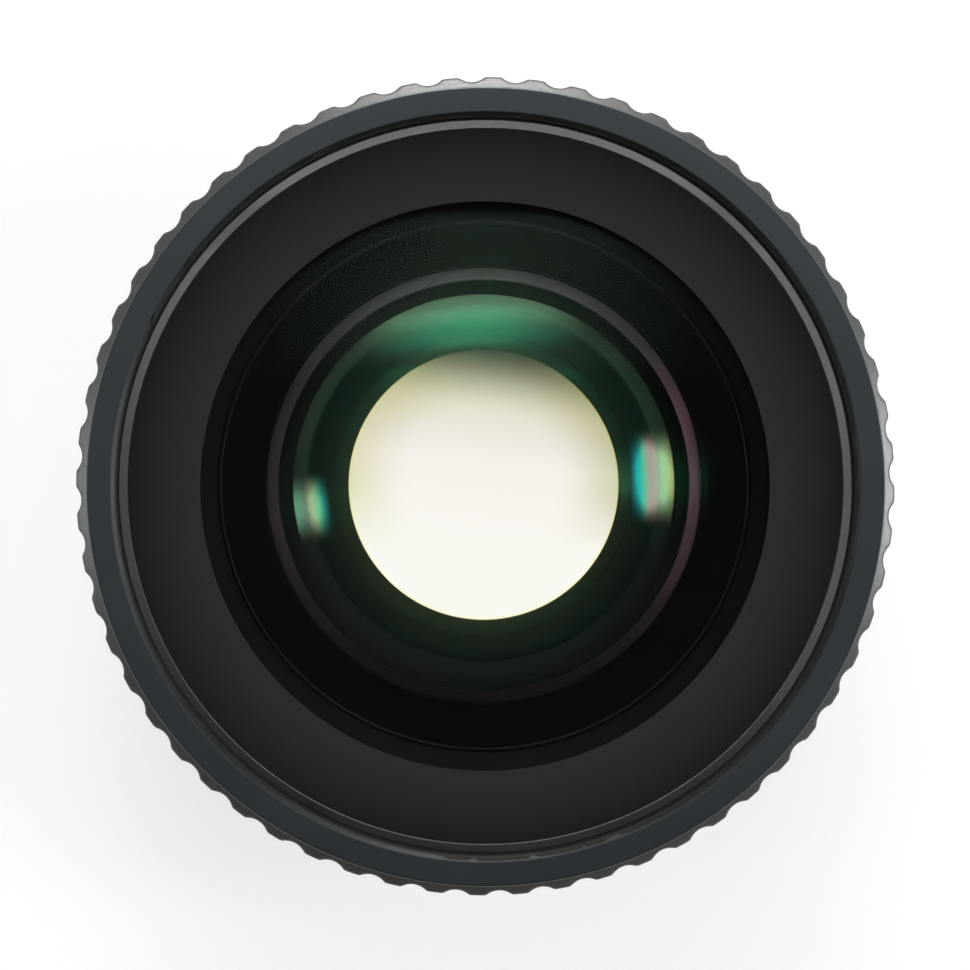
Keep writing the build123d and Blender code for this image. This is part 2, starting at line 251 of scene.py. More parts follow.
# %% [markdown]
# ## The small rainbows
# Real coatings split the light of the two side softboxes into small rainbows, blue at one end and pink in
# the middle. Rays here don't split. So two more lamps stand in the same places and carry those colours, on
# the few degrees that the middle element mirrors.

# %% Place the rainbow lamps
right_rainbow = [
    (26.7, (0.02, 0.04, 0.09)),
    (27.8, (0.02, 0.15, 0.26)),
    (28.6, (0.60, 0.30, 0.32)),
    (29.6, (1.20, 0.23, 0.36)),
    (30.6, (0.75, 0.17, 0.26)),
    (31.5, (0.26, 0.12, 0.16)),
    (32.9, (0.21, 0.17, 0.15)),
    (33.8, (0.15, 0.10, 0.07)),
    (34.7, (0.06, 0.03, 0.02)),
    (36.0, (0.03, 0.04, 0.04)),
]
left_rainbow = [
    (26.8, (0.02, 0.06, 0.10)),
    (27.9, (0.08, 0.21, 0.34)),
    (29.2, (0.85, 0.60, 0.56)),
    (30.0, (1.30, 0.52, 0.50)),
    (31.6, (0.27, 0.16, 0.20)),
    (33.2, (0.18, 0.24, 0.27)),
    (34.0, (0.22, 0.26, 0.22)),
    (34.9, (0.15, 0.13, 0.09)),
    (36.0, (0.07, 0.08, 0.08)),
]
rainbows = [
    softbox("rainbow_right", 2, (25.4, 84), 12, 76.0, right_rainbow, power=4),
    softbox("rainbow_left", 188, (26.0, 84), 9, 14.5, left_rainbow, power=4),
]
print("rainbow lamps:", [lamp.name for lamp in rainbows])

# %% [markdown]
# ## The softboxes round the lens
# Three tall ones stand behind the lens, to its right and to its left. The one behind gives the green
# crescent in the glass, and its light steps up and down where the crescent has its bands. On the same three
# sides a low strip lights the sloping edge of the grip, and a panel overhead lights the flat faces.

# %% Place the softboxes
white_steps = [
    (22.8, 0.72), (25.8, 0.64), (27.2, 0.70), (29.4, 0.96), (30.5, 1.0),
    (31.3, 0.90), (32.7, 0.52), (34.1, 0.36), (36.3, 0.36), (37.3, 0.70),
]
behind_steps = [(tilt, (light, light, light)) for tilt, light in white_steps]
side_steps = [(34.0, (0.42, 0.37, 0.40)), (35.0, (0.07, 0.09, 0.09))]
side_softboxes = [
    softbox("softbox_right", 2, (25.8, 84), 9, 34.0, side_steps),
    softbox("softbox_left", 187.5, (26.0, 84), 8, 10.0, side_steps),
]
softboxes = [
    softbox("softbox_behind", 94, (22.0, 84), 28, 3.4, behind_steps, soft=4.5),
    softbox("low_strip_behind", 90, (70, 88), 26, 13.0),
    softbox("low_strip_right", 0, (70, 88), 20, 14.0),
    softbox("low_strip_left", 180, (70, 88), 18, 4.5),
]
overhead_panel = softbox("overhead_panel", 90, (8, 20), 55, 1.8)
print("softboxes:", [lamp.name for lamp in [*side_softboxes, *softboxes, overhead_panel]])

# %% [markdown]
# ## The table
# The photograph's ground is pure white with only a faint shadow. The table is a plain white surface that
# gives back some light of its own to the camera and to mirrors, so the shadow stays soft and pale.

# %% Lay the table
table_size = 2.2
bpy.ops.object.select_all(action="DESELECT")
bpy.ops.mesh.primitive_plane_add(size=table_size, location=(0, 0, 0))
table = bpy.context.object
table.name = "table"
table_white = bpy.data.materials.new("table_white")
table_white.use_nodes = True
table.data.materials.append(table_white)
print("table:", table_size, "m wide")

# %% [markdown]
# ## The pool of light under the lens
# Behind glass the table shows the pool of light that falls through the lens: bright towards the front,
# because the big softbox stands behind, dim towards the back, and warm at the rim. A traced pool would need
# far more samples to come out clean, so it is painted with formulas, in millimetres from the axis.

# %% Paint the table
pool_r = 16.6
own_glow = 0.70
graph = Graph(table_white.node_tree)
spot = graph.node("ShaderNodeTexCoord", output="Object")
x, y = graph.part_of(spot, "X") / mm, graph.part_of(spot, "Y") / mm
r = (x * x + y * y) ** 0.5
lean = y + 0.12 * x
fall = (1 - 0.18 * graph.ramp(lean, 2.5, 9.6)) * (1 - graph.soft_ramp(lean, 8.6, 17.5))
edge = graph.soft_ramp(r, 8.5, 18.5) * graph.ramp(y, -8.0, -1.0)
light = fall * (1 - (0.30 + 0.005 * x) * edge)
warm = 1 - 0.55 * graph.ramp(r, 0.965 * pool_r, 0.99 * pool_r)
blue = light * (1 - 0.30 * edge) * (1 - 0.17 * graph.ramp(lean, 5.0, 11.0)) * warm
near = graph.ramp(lean, 1.0, -7.0)
pool = graph.colour_of(
    1.01 * light + 0.01 + 0.03 * near, 0.96 * light + 0.01 + 0.07 * near, 0.95 * blue + 0.01 + 0.06 * near
)
through_glass = graph.ray("Transmission")
direct = (graph.ray("Camera") + graph.ray("Glossy")).clamped() * (1 - through_glass)
wires = {"Color": graph.blend(through_glass, (1, 1, 1), pool), "Strength": own_glow * direct + through_glass}
glow = graph.node("ShaderNodeEmission", inputs=wires)
matt = graph.node("ShaderNodeBsdfDiffuse", inputs={"Color": (0.34, 0.34, 0.34, 1)})
dark = graph.node("ShaderNodeBsdfDiffuse", inputs={"Color": (0.02, 0.02, 0.02, 1)})
plain = graph.node("ShaderNodeMixShader", inputs={0: through_glass, 1: matt, 2: dark})
surface = graph.node("ShaderNodeAddShader", inputs={0: plain, 1: glow})
graph.node("ShaderNodeOutputMaterial", inputs={"Surface": surface})
print("table:", len(table_white.node_tree.nodes), "nodes")

# %% [markdown]
# ## The white room
# The world is white where the camera looks straight at it. For all other rays it is dim, and banded by the
# tilt from straight up: each band fills a stretch of a ring or a glass that no softbox reaches.

# %% Light the world
world = bpy.data.worlds.new("white_room")
bpy.context.scene.world = world
world.use_nodes = True
graph = Graph(world.node_tree)
direction = graph.node("ShaderNodeTexCoord", output="Generated")
north, height = graph.part_of(direction, "Y"), graph.part_of(direction, "Z")
tilt = height.maths("ARCCOSINE", height) * math.degrees(1)
behind = graph.soft_ramp(north, -0.25, 0.25)
lower = graph.soft_ramp(tilt, 22.0, 26.5)
overhead = (0.08 + 0.22 * behind) * (1 - lower)
between = (0.035 + 0.06 * behind) * lower
band = 0.40 * behind * graph.soft_ramp(tilt, 29.3, 30.3) * (1 - graph.ramp(tilt, 30.3, 34.5))
low_light = 0.40 * graph.ramp(tilt, 53, 81)
dim = overhead + between + band + low_light
seen = graph.ray("Camera")
sky = graph.node("ShaderNodeBackground", inputs={"Color": (1, 1, 1, 1), "Strength": seen + (1 - seen) * dim})
graph.node("ShaderNodeOutputWorld", inputs={"Surface": sky})
bpy.context.scene.view_settings.view_transform = "Standard"
print("world:", world.name)

# %% [markdown]
# ## Finishes
# A finish is a material with a few more helpers. All patterns are placed in the object's own coordinates,
# and every piece keeps its object at the origin, so a radius in a pattern is a radius on the lens.

# %% Make the material class
class Finish(Graph):
    """A material and the patterns that its nodes are built from."""

    def __init__(self, name):
        self.material = bpy.data.materials.new(name)
        self.material.use_nodes = True
        super().__init__(self.material.node_tree)

    def place(self):
        return self.node("ShaderNodeTexCoord", output="Object")

    def radius(self):
        """Distance from the optical axis, in millimetres."""
        x, y = self.part_of(self.place(), "X"), self.part_of(self.place(), "Y")
        return (x * x + y * y) ** 0.5 / mm

    def noise(self, size, detail=2.0, vector=None):
        """Noise from 0 to 1 whose spots are about that size in millimetres."""
        wires = {"Vector": vector or self.place(), "Scale": 1 / (size * mm), "Detail": detail}
        return self.node("ShaderNodeTexNoise", inputs=wires, output="Fac")

    def bump(self, height, depth):
        """A normal from a height of 0 to 1 that stands for depth in millimetres."""
        return self.node("ShaderNodeBump", inputs={"Height": height, "Distance": depth * mm})

    def surface(self, varying, **constants):
        """A Principled shader: the varying sockets come with their names, the others as constants."""
        inputs = {name.replace("_", " "): value for name, value in constants.items()}
        return self.node("ShaderNodeBsdfPrincipled", inputs={**varying, **inputs})

    def finish_with(self, shader):
        self.node("ShaderNodeOutputMaterial", inputs={"Surface": shader})
        print("finish:", self.material.name, len(self.tree.nodes), "nodes")
        return self.material


print("finishes are placed in object coordinates")

# %% [markdown]
# ## Black anodised aluminium
# Anodising leaves a hard, slightly blue-black skin with the fine rings of the lathe under it. A plain black
# would look like plastic, so three things vary: the rings, which are noise stretched round the axis, a fine
# grain from the bead blast, and the gloss, which wanders a little. The blackened screws and the brass shim
# are the same finish in other colours.

# %% Make the metal finishes
def ring_marks(finish, spacing):
    """Noise that changes only with radius and height, as the marks of a turning tool do."""
    where = {"X": finish.radius() * mm, "Z": finish.part_of(finish.place(), "Z")}
    return finish.noise(spacing, 1.0, finish.node("ShaderNodeCombineXYZ", inputs=where))


def anodised(name, colour, roughness, gloss=0.5, sheen=(1, 1, 1)):
    finish = Finish(name)
    grain = finish.noise(0.09, 3.0)
    rings = ring_marks(finish, 0.12)
    cloud = finish.noise(6.0)
    darker = [0.75 * part for part in colour]
    varying = {
        "Base Color": finish.blend(cloud, darker, colour),
        "Roughness": roughness + 0.10 * (cloud - 0.5) + 0.08 * (grain - 0.5),
        "Normal": finish.bump(grain * 0.4 + rings * 0.2, 0.01),
    }
    shader = finish.surface(varying, Specular_IOR_Level=gloss, Specular_Tint=with_alpha(sheen))
    return finish.finish_with(shader)


blue_sheen = (0.82, 0.95, 1.0)
black_anodised = anodised("black_anodised", (0.0050, 0.0068, 0.0085), 0.36, 0.75, blue_sheen)
thread_anodised = anodised("thread_anodised", (0.006, 0.007, 0.008), 0.50, 0.25)
ring_anodised = anodised("ring_anodised", (0.028, 0.029, 0.030), 0.36, 0.6)
land_anodised = anodised("land_anodised", (0.006, 0.0065, 0.006), 0.38)
screw_steel = anodised("screw_steel", (0.030, 0.030, 0.032), 0.35)
shim_brass = anodised("shim_brass", (0.55, 0.40, 0.16), 0.30)

# %% [markdown]
# ## Matt black paint
# Inside, every ring is painted flat black, to swallow stray light. The paint has no gloss to speak of and
# only a fine grain. Close to the rear opening it takes some of the light from below, and rather than trace
# that light, the colour runs from a paler one to a darker one over a stretch of radii.

# %% Make the paint finishes
def matt_paint(name, near, far=None, near_r=18.0, far_r=22.0):
    """Flat black paint of one colour, or with a second one that takes over between two radii."""
    finish = Finish(name)
    grain = finish.noise(0.15, 3.0)
    across = finish.ramp(finish.radius(), near_r, far_r)
    varying = {
        "Base Color": finish.blend(across, near, far or near),
        "Roughness": 0.75 + 0.10 * (grain - 0.5),
        "Normal": finish.bump(grain, 0.004),
    }
    return finish.finish_with(finish.surface(varying, Specular_IOR_Level=0.12))


matt_black = matt_paint("matt_black", (0.009, 0.009, 0.009))
opening_black = matt_paint("opening_black", (0.050, 0.045, 0.028), (0.030, 0.028, 0.022), 16.3, 18.0)
ledge_black = matt_paint("ledge_black", (0.020, 0.019, 0.015), (0.003, 0.003, 0.003), 18.0, 21.0)

# %% [markdown]
# ## Rubber
# The grip is moulded rubber with a sandy grain that sparkles where it leans towards a lamp. The grain is
# two sizes of noise in the bump, and the same noise lightens and dulls the surface here and there. The
# gasket's rubber and the washers' black polymer are the same, with a smoother and softer grain.

# %% Make the rubber and polymer finishes
def grained(name, colour, pale, roughness, size, depth):
    finish = Finish(name)
    grain = finish.noise(size, 4.0)
    coarse = finish.noise(4 * size, 2.0)
    speck = finish.ramp(grain, 0.45, 0.72)
    varying = {
        "Base Color": finish.blend(speck, colour, pale),
        "Roughness": roughness + 0.15 * (coarse - 0.5) - 0.10 * speck,
        "Normal": finish.bump(0.7 * grain + 0.3 * coarse, depth),
    }
    return finish.finish_with(finish.surface(varying))


grip_rubber = grained("grip_rubber", (0.022, 0.022, 0.022), (0.080, 0.080, 0.081), 0.34, 0.12, 0.02)
seal_rubber = grained("seal_rubber", (0.012, 0.012, 0.012), (0.030, 0.030, 0.030), 0.70, 0.20, 0.01)
slip_polymer = grained("slip_polymer", (0.030, 0.030, 0.030), (0.050, 0.050, 0.050), 0.45, 0.30, 0.005)

# %% [markdown]
# ## Coated glass
# Camera glass isn't clear: each surface has a thin coating that throws back about one part in a hundred of
# the light, tinted. Principled glass has no dial for that, so the surface is a mix of two shaders, one that
# bends the light and one that mirrors it, and Fresnel times a coating strength decides the share. Shadow
# rays, and rays that left a matt surface, see neither: they pass through a Transparent shader, so the lamps
# light the inside without noise. Over the lacquered rim the mirror image is left out, because it is fainter
# than the noise that it brings.

# %% Make the glass finishes
clear_tint = (0.999, 0.998, 0.993)


def coated_glass(name, ior, colours, strength, blur, mirror_r=None):
    """Glass whose mirrored colour runs through a list of (radius in millimetres, colour).

    With a mirror_r, the surface mirrors nothing outside that radius.
    """
    finish = Finish(name)
    tint = with_alpha(clear_tint)
    bend = finish.node("ShaderNodeBsdfRefraction", inputs={"Color": tint, "IOR": ior, "Roughness": 0.0})
    radius = finish.radius()
    mirror, last_r = None, 0
    for r, colour in colours:
        shine = finish.node("ShaderNodeBsdfGlossy", inputs={"Color": with_alpha(colour), "Roughness": blur})
        across = finish.ramp(radius, last_r, r)
        if mirror:
            shine = finish.node("ShaderNodeMixShader", inputs={0: across, 1: mirror, 2: shine})
        mirror, last_r = shine, r
    share = finish.node("ShaderNodeFresnel", inputs={"IOR": ior}) * strength
    if mirror_r:
        share = share * (1 - finish.ramp(radius, mirror_r - 0.5, mirror_r))
    glass = finish.node("ShaderNodeMixShader", inputs={0: share.clamped(), 1: bend, 2: mirror})
    clear = finish.node("ShaderNodeBsdfTransparent", inputs={"Color": tint})
    straight = (finish.ray("Shadow") + finish.ray("Diffuse")).clamped()
    return finish.finish_with(finish.node("ShaderNodeMixShader", inputs={0: straight, 1: glass, 2: clear}))


crown_ior = 1.52
dense_ior = 1.6
flint_ior = 1.62
green = (0.10, 0.80, 0.36)
pale_green = (0.60, 0.90, 0.67)
teal = (0.08, 0.75, 0.40)
straw = (0.48, 0.85, 0.50)
faint_teal = (0.01, 0.05, 0.03)
hollow_r = 27.3
over_opening = [(15.0, faint_teal), (17.0, teal), (19.0, teal), (23.0, straw)]
front_coating = coated_glass("front_coating", dense_ior, [(0, pale_green)], 0.12, 0.05, hollow_r)
inner_coating = coated_glass("inner_coating", dense_ior, [(0, green)], 0.10, 0.08)
middle_coating = coated_glass("middle_coating", dense_ior, over_opening, 1.30, 0.04)
middle_rear_coating = coated_glass("middle_rear_coating", dense_ior, [(0, green)], 0.04, 0.10)
crown_coating = coated_glass("crown_coating", crown_ior, [(10, green), (19, straw)], 0.15, 0.10)
cement_face = coated_glass("cement_face", crown_ior, [(0, green)], 0.01, 0.10)
flint_face = coated_glass("flint_face", flint_ior, [(0, green)], 0.05, 0.10)

# %% [markdown]
# ## Black lacquer
# The rims of the glasses are ground and lacquered black, so that no light creeps in from the side. Light and
# shade are painted into the lacquer: it is painted paler towards the edge of the hollow, and darker
# outwards, where the bezel shades it. It has no gloss of its own, because it lies behind glass. Where the
# two touch there is no air, so the glass's face there is simply clear.

# %% Make the lacquer
# Painted light and shade: the lacquer runs from a paler colour at the hollow's edge to a darker one
# outwards, as the bezel's shade would fall.
lacquer_painted_shade = (0.0104, 0.0106, 0.0114)
lacquer_painted_light = (0.0128, 0.0130, 0.0138)
painted_shade_r = 33.0
coat = Finish("lacquer")
outwards = coat.ramp(coat.radius(), hollow_r, painted_shade_r)
varying = {
    "Base Color": coat.blend(outwards, lacquer_painted_light, lacquer_painted_shade),
    "Roughness": 0.55 + 0.1 * coat.noise(0.5),
}
lacquer = coat.finish_with(coat.surface(varying, Specular_IOR_Level=0.0))
contact = Finish("paint_contact")
clear_face = contact.node("ShaderNodeBsdfTransparent", inputs={"Color": (1, 1, 1, 1)})
paint_contact = contact.finish_with(clear_face)

# %% [markdown]
# ## Turning on the lathe
# A ring is modelled the way a lathe operator thinks of it: a closed outline of radius and height, swept
# round the axis. Here a circle is extruded from one corner of the outline to the next, moved up or down and
# scaled to the new radius, until it meets its own start. That leaves clean square faces and no seam.

# %% Make the lathe
lathe_steps = 256


def alone(thing):
    """Leaves only this object selected and active."""
    if bpy.context.mode != "OBJECT":
        bpy.ops.object.mode_set(mode="OBJECT")
    bpy.ops.object.select_all(action="DESELECT")
    thing.select_set(True)
    bpy.context.view_layer.objects.active = thing


def start_circle(name, radius, height, steps):
    bpy.ops.object.select_all(action="DESELECT")
    bpy.ops.mesh.primitive_circle_add(vertices=steps, radius=radius * mm, location=(0, 0, height * mm))
    piece = bpy.context.object
    piece.name = name
    bpy.ops.object.transform_apply(location=True)
    bpy.ops.object.mode_set(mode="EDIT")
    bpy.ops.mesh.select_all(action="SELECT")
    return piece


def raise_circle(rise):
    """Extrudes the selected circle upwards."""
    bpy.ops.mesh.extrude_region_move(TRANSFORM_OT_translate={"value": (0, 0, rise * mm)})


def sweep_through(outline):
    """Extrudes the selected circle, which lies at an outline's first (radius, height), along the rest."""
    for (r, z), (next_r, next_z) in zip(outline, outline[1:]):
        raise_circle(next_z - z)
        scale = next_r / r
        bpy.ops.transform.resize(value=(scale, scale, 1), center_override=(0, 0, next_z * mm))


def weld(piece, distance=0.001):
    """Merges what meets and turns all faces outwards."""
    bpy.ops.mesh.select_all(action="SELECT")
    bpy.ops.mesh.remove_doubles(threshold=distance * mm)
    bpy.ops.mesh.normals_make_consistent(inside=False)
    bpy.ops.object.mode_set(mode="OBJECT")
    return piece


print("the lathe takes", lathe_steps, "steps to a turn")

# %% [markdown]
# ## Breaking the edges
# A real edge always catches a thin line of light, because it is never quite sharp. A Bevel modifier breaks
# the corners of each turned piece, and weighted normals keep the flats flat beside the round edges.

# %% Make the edge tools
def apply_modifier(piece, kind, **settings):
    alone(piece)
    modifier = piece.modifiers.new("step", kind)
    for name, value in settings.items():
        setattr(modifier, name, value)
    bpy.ops.object.modifier_apply(modifier=modifier.name)


def break_edges(piece, width, degrees):
    """Bevels all edges that are sharper than an angle."""
    limit = math.radians(degrees)
    apply_modifier(piece, "BEVEL", width=width * mm, segments=2, limit_method="ANGLE", angle_limit=limit)


def cut_away(piece, cutter):
    apply_modifier(piece, "BOOLEAN", operation="DIFFERENCE", solver="EXACT", object=cutter)
    bpy.data.objects.remove(cutter)


def smooth(piece, degrees=30):
    alone(piece)
    bpy.ops.object.shade_smooth_by_angle(angle=math.radians(degrees))


def smooth_flats(piece):
    smooth(piece)
    apply_modifier(piece, "WEIGHTED_NORMAL", keep_sharp=True, weight=100)


def turned(name, outline, bevel=0.06):
    piece = start_circle(name, *outline[0], lathe_steps)
    sweep_through(outline + outline[:1])
    weld(piece)
    if bevel:
        break_edges(piece, bevel, 20)
    smooth_flats(piece)
    return piece


print("edges are broken with a bevel")

# %% [markdown]
# ## Dressing a piece
# Each piece takes the place of a CAD node, gets its finishes, and rides on one of the two bodies. Where a
# ring is painted inside and bare outside, the faces choose.

# %% Make the dressing tools
def paint_faces(piece, choose):
    """Gives each face the slot number that choose returns for its middle radius, height and upward tilt."""
    for face in piece.data.polygons:
        r = math.hypot(face.center.x, face.center.y) / mm
        face.material_index = choose(r, face.center.z / mm, face.normal.z)


def dress(piece, node, body, slot, *finishes):
    """Gives a finished piece its materials and its place in the frame."""
    for finish in finishes:
        piece.data.materials.append(finish)
    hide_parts(node)
    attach(piece, body)
    print(piece.name, len(piece.data.polygons), "faces")


print("bodies: barrel and turning_collar")

# %% [markdown]
# ## Cutting a thread
# A fine thread is a V-shaped groove that climbs one pitch in each turn. A triangle is wound into a helix
# with a Screw modifier and taken away from the ring with a Boolean, which is what a threading tool does to
# the metal.

# %% Make the threading tool
pitch = 0.75
flank_angle = 30
cut_past = 0.15


def cut_thread(piece, crest_r, root_r, low, high):
    """Cuts a groove from the crest to the root radius, over a stretch of heights."""
    into = 1 if root_r > crest_r else -1
    open_r = crest_r - into * cut_past
    half = abs(root_r - open_r) * math.tan(math.radians(flank_angle))
    start = low - pitch
    corners = [(root_r, start), (open_r, start - half), (open_r, start + half)]
    bpy.ops.object.select_all(action="DESELECT")
    bpy.ops.mesh.primitive_circle_add(vertices=3, radius=mm, fill_type="NGON")
    cutter = bpy.context.object
    for vertex, (r, z) in zip(cutter.data.vertices, corners):
        vertex.co = (r * mm, 0, z * mm)
    turns = math.ceil((high - low) / pitch) + 2
    steps = {"steps": lathe_steps, "render_steps": lathe_steps}
    apply_modifier(cutter, "SCREW", axis="Z", screw_offset=pitch * mm, iterations=turns, **steps)
    bpy.ops.object.mode_set(mode="EDIT")
    bpy.ops.mesh.select_all(action="SELECT")
    bpy.ops.mesh.fill_holes(sides=3)
    weld(cutter)
    cut_away(piece, cutter)
    smooth(piece)


print("thread pitch:", pitch, "mm")

# %% [markdown]
# ## The front bezel
# The flat satin ring at the very front. Its bore is a filter thread, and seen from above only the thread's
# first crest shows, as a fine line. The outer corner has a small bevel and the mouth a larger one.

# %% Turn the bezel
filter_mouth = 0.4
filter_depth = 0.38
bezel_bevel = 0.12
neck_r = 36.67
slide_fit = 0.05
bezel = turned(
    "front_bezel_turned",
    [
        (neck_r + slide_fit, bezel_low),
        (bezel_r, bezel_low),
        (bezel_r, lens_top - bezel_bevel),
        (bezel_r - bezel_bevel, lens_top),
        (filter_crest_r + filter_mouth, lens_top),
        (filter_crest_r, lens_top - filter_mouth),
        (filter_crest_r, filter_low),
        (neck_r + slide_fit, filter_low),
    ],
)
cut_thread(bezel, filter_crest_r, filter_crest_r + filter_depth, filter_low, lens_top)
paint_faces(bezel, lambda r, z, up: 1 if r < filter_crest_r + filter_mouth and up < 0.9 else 0)
dress(bezel, "front_bezel", "barrel", "black_anodised", black_anodised, thread_anodised)

# %% [markdown]
# ## The front retaining ring
# A thin ring screwed down on the front glass. Its top slopes outwards, so behind the lens it faces the big
# softbox and shows as a pale line, and in front it goes dark.

# %% Turn the front retaining ring
retainer_r, retainer_low, retainer_top = size_of("front_retaining_ring")
retainer_inner_r = 34.69
retainer_drop = 0.45
retainer = turned(
    "front_retaining_ring_turned",
    [
        (retainer_inner_r, retainer_low),
        (retainer_r, retainer_low),
        (retainer_r, retainer_top - retainer_drop),
        (retainer_inner_r, retainer_top),
    ],
    bevel=0.05,
)
paint_faces(retainer, lambda r, z, up: 0 if up > 0.3 else 1)
dress(retainer, "front_retaining_ring", "barrel", "black_anodised", ring_anodised, matt_black)

# %% [markdown]
# ## Grinding the glass
# A lens surface is part of a sphere, so its outline is a row of points worked out from the radius of
# curvature. The sweep starts in a tiny circle at one pole and ends in another, and each is then merged to a
# point. The faces get their finish by where they look: the polished ones are glass, and the ground rim is
# lacquered.

# %% Make the grinding tool
pole_r = 0.02


def sag(radius, r):
    """How far a sphere falls from its vertex at radius r."""
    return radius - math.sqrt(radius * radius - r * r)


def ground_curve(radius, vertex, edge_r, steps, falls=1):
    """Points from the pole to the edge of a spherical surface that falls or rises away from its vertex."""
    radii = [pole_r] + [edge_r * step / steps for step in range(1, steps + 1)]
    return [(r, vertex - falls * sag(radius, r)) for r in radii]


def ground(name, front, rim, rear):
    """Glass from the points of its front and rear, from the axis outwards, and of its rim, downwards."""
    outline = front + rim + rear[::-1]
    piece = start_circle(name, *outline[0], lathe_steps)
    sweep_through(outline)
    for pole in (front[0][1], rear[0][1]):
        mesh = bmesh.from_edit_mesh(piece.data)
        for vertex in mesh.verts:
            near_axis = math.hypot(vertex.co.x, vertex.co.y) < 1.5 * pole_r * mm
            vertex.select = near_axis and abs(vertex.co.z - pole * mm) < pole_r * mm
        mesh.select_flush_mode()
        bmesh.update_edit_mesh(piece.data)
        bpy.ops.mesh.merge(type="CENTER")
    weld(piece, 0.0001)
    smooth(piece, 20)
    return piece


print("a pole starts as a circle of", 2 * pole_r, "mm")

# %% [markdown]
# ## The front element
# A big meniscus: nearly flat in front, deeply hollow behind, with a wide flat rim that is lacquered black.
# That lacquer is the broad smooth ring in the photograph. It is a thin ring of its own, so that it can be
# lit by itself, and the glass makes room for it.

# %% Grind the front element
front_r, rim_face, front_vertex = size_of("front_element")
front_curve = 180.0
hollow_curve = 48.0
coat_height = 0.04
coat_gap = 0.01
painted_face = rim_face + coat_height + coat_gap
hollow_vertex = painted_face + sag(hollow_curve, hollow_r)
glass_bevel = 0.25
shoulder_r = front_r - glass_bevel
front_edge = front_vertex - sag(front_curve, front_r)
front_glass = ground(
    "front_element_ground",
    ground_curve(front_curve, front_vertex, shoulder_r, 28),
    [
        (front_r, front_edge - glass_bevel),
        (front_r, painted_face + glass_bevel),
        (shoulder_r, painted_face),
    ],
    ground_curve(hollow_curve, hollow_vertex, hollow_r, 36),
)


def front_finish(r, z, up):
    if r > hollow_r and up < 0.5:
        return 3 if up < -0.9 else 2
    return 0 if up > 0 else 1


paint_faces(front_glass, front_finish)
front_faces = (front_coating, inner_coating, lacquer, paint_contact)
dress(front_glass, "front_element", "barrel", "coated_glass", *front_faces)

# %% [markdown]
# ## The lacquered rim
# The coat is thinner than paper, and a hundredth of a millimetre of air parts it from the glass. Two faces
# in the same place would flicker, so they never touch.

# %% Lay on the lacquer
rim_coat = turned(
    "front_element_rim_coat",
    [
        (hollow_r, rim_face),
        (shoulder_r, rim_face),
        (shoulder_r, rim_face + coat_height),
        (hollow_r, rim_face + coat_height),
    ],
    bevel=0,
)
dress(rim_coat, "front_element", "barrel", "matt_black_paint", lacquer)

# %% [markdown]
# ## The middle element
# This is the glass that shows the green crescent, because its front is almost flat and mirrors the softbox
# behind the lens. Its rear bulges down towards the rear pair.

# %% Grind the middle element
middle_r, middle_rear_vertex, middle_vertex = size_of("middle_element")
middle_curve = 600.0
middle_rear_curve = 85.0
middle_bevel = 0.2
middle_shoulder_r = middle_r - middle_bevel
middle_edge = middle_vertex - sag(middle_curve, middle_r)
middle_glass = ground(
    "middle_element_ground",
    ground_curve(middle_curve, middle_vertex, middle_shoulder_r, 20),
    [(middle_r, middle_edge - middle_bevel)],
    ground_curve(middle_rear_curve, middle_rear_vertex, middle_r, 26, -1),
)


def middle_finish(r, z, up):
    if r > middle_shoulder_r and abs(up) < 0.8:
        return 2
    return 0 if up > 0 else 1


paint_faces(middle_glass, middle_finish)
middle_faces = (middle_coating, middle_rear_coating, lacquer)
dress(middle_glass, "middle_element", "barrel", "coated_glass", *middle_faces)

# %% [markdown]
# ## The rear pair
# A crown and a flint element are cemented into one. Two meshes can't share a face without noise, so a hair
# of air lies between them, too thin to bend what passes.

# %% Grind the rear pair
doublet_r, _, crown_vertex = size_of("crown_element")
crown_curve = 130.0
cement_curve = 140.0
flint_rear_curve = 300.0
crown_centre = 4.2
flint_centre = 1.3
cement_gap = 0.01
cement_vertex = crown_vertex - crown_centre
flint_rear_vertex = cement_vertex - flint_centre
crown = ground(
    "crown_element_ground",
    ground_curve(crown_curve, crown_vertex, doublet_r, 18),
    [],
    ground_curve(cement_curve, cement_vertex + cement_gap, doublet_r, 18, -1),
)
paint_faces(crown, lambda r, z, up: 2 if abs(up) < 0.5 else 0 if up > 0 else 1)
dress(crown, "crown_element", "barrel", "coated_glass", crown_coating, cement_face, lacquer)
flint = ground(
    "flint_element_ground",
    ground_curve(cement_curve, cement_vertex, doublet_r, 18, -1),
    [],
    ground_curve(flint_rear_curve, flint_rear_vertex, doublet_r, 18),
)
paint_faces(flint, lambda r, z, up: 1 if abs(up) < 0.5 else 0)
dress(flint, "flint_element", "barrel", "coated_glass", flint_face, lacquer)

# %% [markdown]
# ## The light baffle
# The matt cone in the hollow, which keeps stray light off the glass behind. It is turned like the rest,
# with a thin flat lip at the top that is left satin.

# %% Turn the baffle
baffle_r, cell_top, baffle_top = size_of("light_baffle")
baffle_throat_r = 25.2
baffle_lip = 0.34
baffle_wall = 0.5
baffle = turned(
    "light_baffle_turned",
    [
        (baffle_throat_r, cell_top),
        (baffle_r, cell_top),
        (baffle_r, baffle_top),
        (baffle_r - baffle_lip, baffle_top),
        (baffle_r - baffle_lip, baffle_top - baffle_wall),
        (baffle_throat_r, cell_top + baffle_wall),
    ],
)
paint_faces(baffle, lambda r, z, up: 1 if up > 0.9 and r > baffle_r - baffle_lip else 0)
dress(baffle, "light_baffle", "barrel", "matt_black_paint", matt_black, land_anodised)

# %% [markdown]
# ## The middle retaining ring
# The thin flat light ring deep in the lens, which holds the middle element. Its bore is cut back below a
# narrow lip, so that the lip's dark side doesn't cover the glass.

